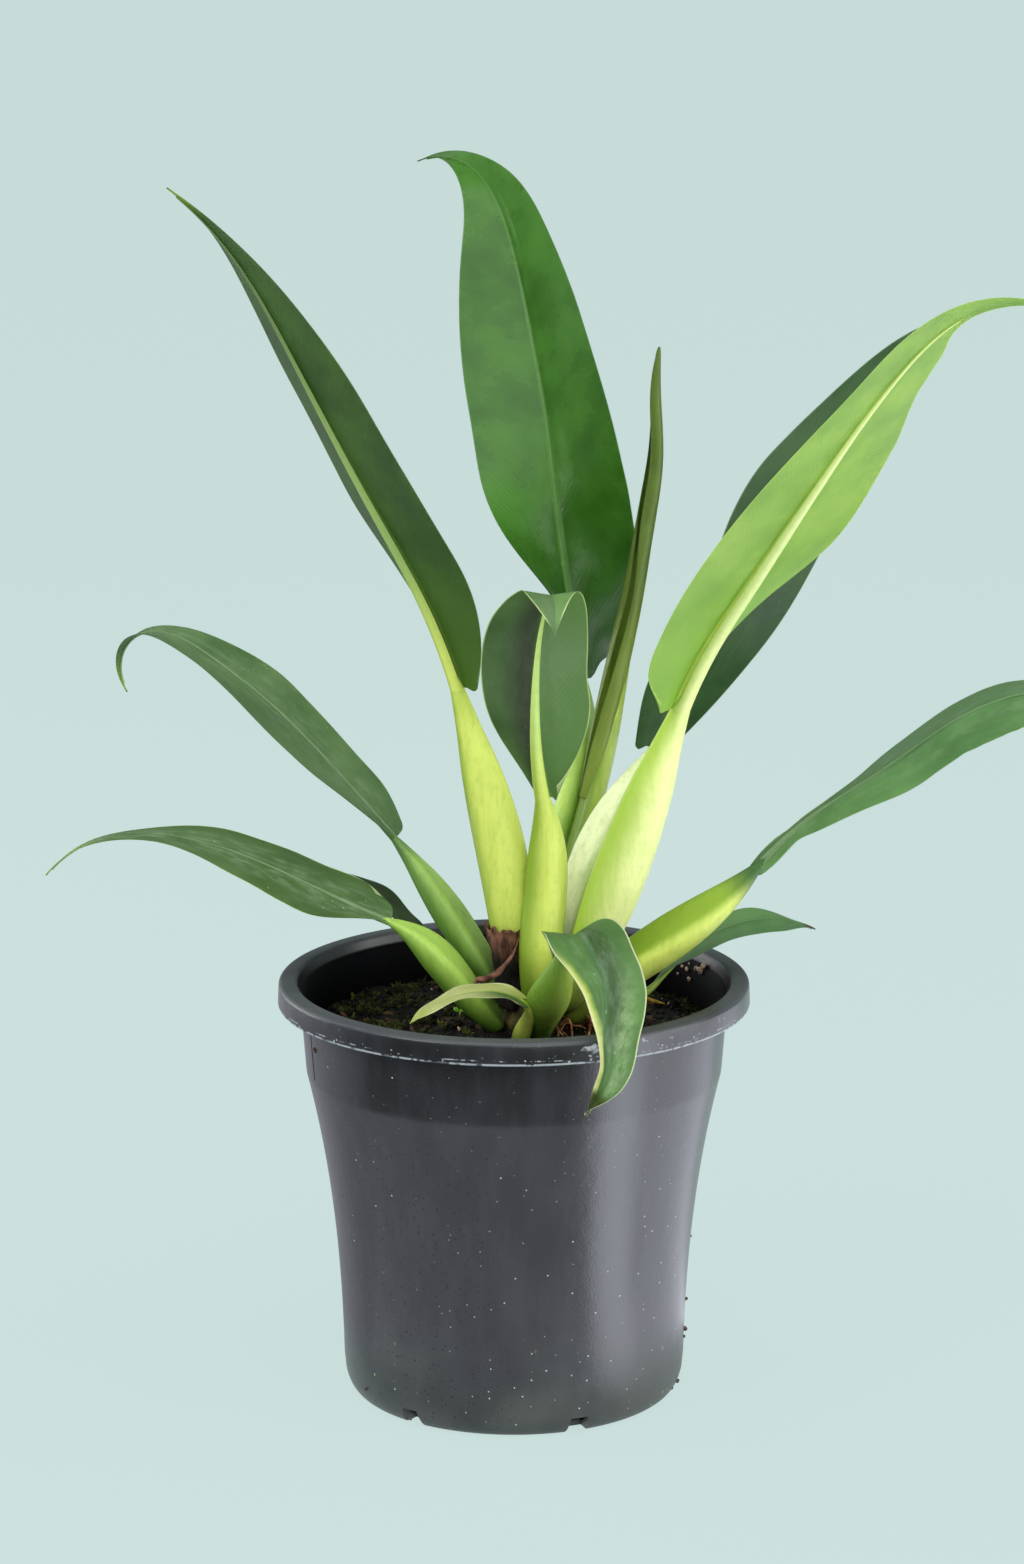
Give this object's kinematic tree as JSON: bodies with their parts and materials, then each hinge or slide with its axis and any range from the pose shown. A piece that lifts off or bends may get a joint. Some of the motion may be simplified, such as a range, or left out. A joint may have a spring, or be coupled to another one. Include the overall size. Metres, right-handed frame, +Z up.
{
  "type": "potted philodendron",
  "caption": "Young philodendron with thick pale stalks and long pointed leaves, rooted in soil in a round plastic nursery pot with a turned-down rim and drainage notches.",
  "frame": {"origin": "centre of the pot's flat underside, in the plane it stands on; the pot's axis is +Z", "axes": "+Z up along the pot's axis; +X to the right and -Y towards the viewer in the picture"},
  "size_m": [0.464, 0.3366, 0.5234],
  "materials": {
    "pot_plastic": "satin",
    "potting_soil": "matte",
    "crown_stem": "matte",
    "dried_sheath": "matte",
    "lime_stalk": "satin",
    "pale_stalk": "satin",
    "green_stalk": "satin",
    "dark_blade": "satin",
    "mid_blade": "satin",
    "grey_green_blade": "satin",
    "lime_blade": "satin",
    "young_blade": "satin",
    "variegated_blade": "satin"
  },
  "bodies": {
    "root": {"pot": "pot_plastic", "soil": "potting_soil", "crown": "crown_stem", "dried_sheath": "dried_sheath", "tall_left_stalk": "lime_stalk", "tall_left_blade": "dark_blade", "tall_centre_stalk": "green_stalk", "tall_centre_blade": "mid_blade", "young_roll_stalk": "pale_stalk", "young_roll_blade": "young_blade", "bright_right_stalk": "lime_stalk", "bright_right_blade": "lime_blade", "dark_right_stalk": "pale_stalk", "dark_right_blade": "dark_blade", "folded_front_stalk": "lime_stalk", "folded_front_blade": "grey_green_blade", "mid_left_stalk": "green_stalk", "mid_left_blade": "grey_green_blade", "low_left_stalk": "green_stalk", "low_left_blade": "grey_green_blade", "back_left_stalk": "green_stalk", "back_left_blade": "dark_blade", "right_mid_stalk": "lime_stalk", "right_mid_blade": "grey_green_blade", "right_low_stalk": "pale_stalk", "right_low_blade": "dark_blade", "over_rim_stalk": "green_stalk", "over_rim_blade": "variegated_blade", "pale_front_stalk": "pale_stalk", "pale_front_blade": "lime_blade"}
  },
  "joints": []
}
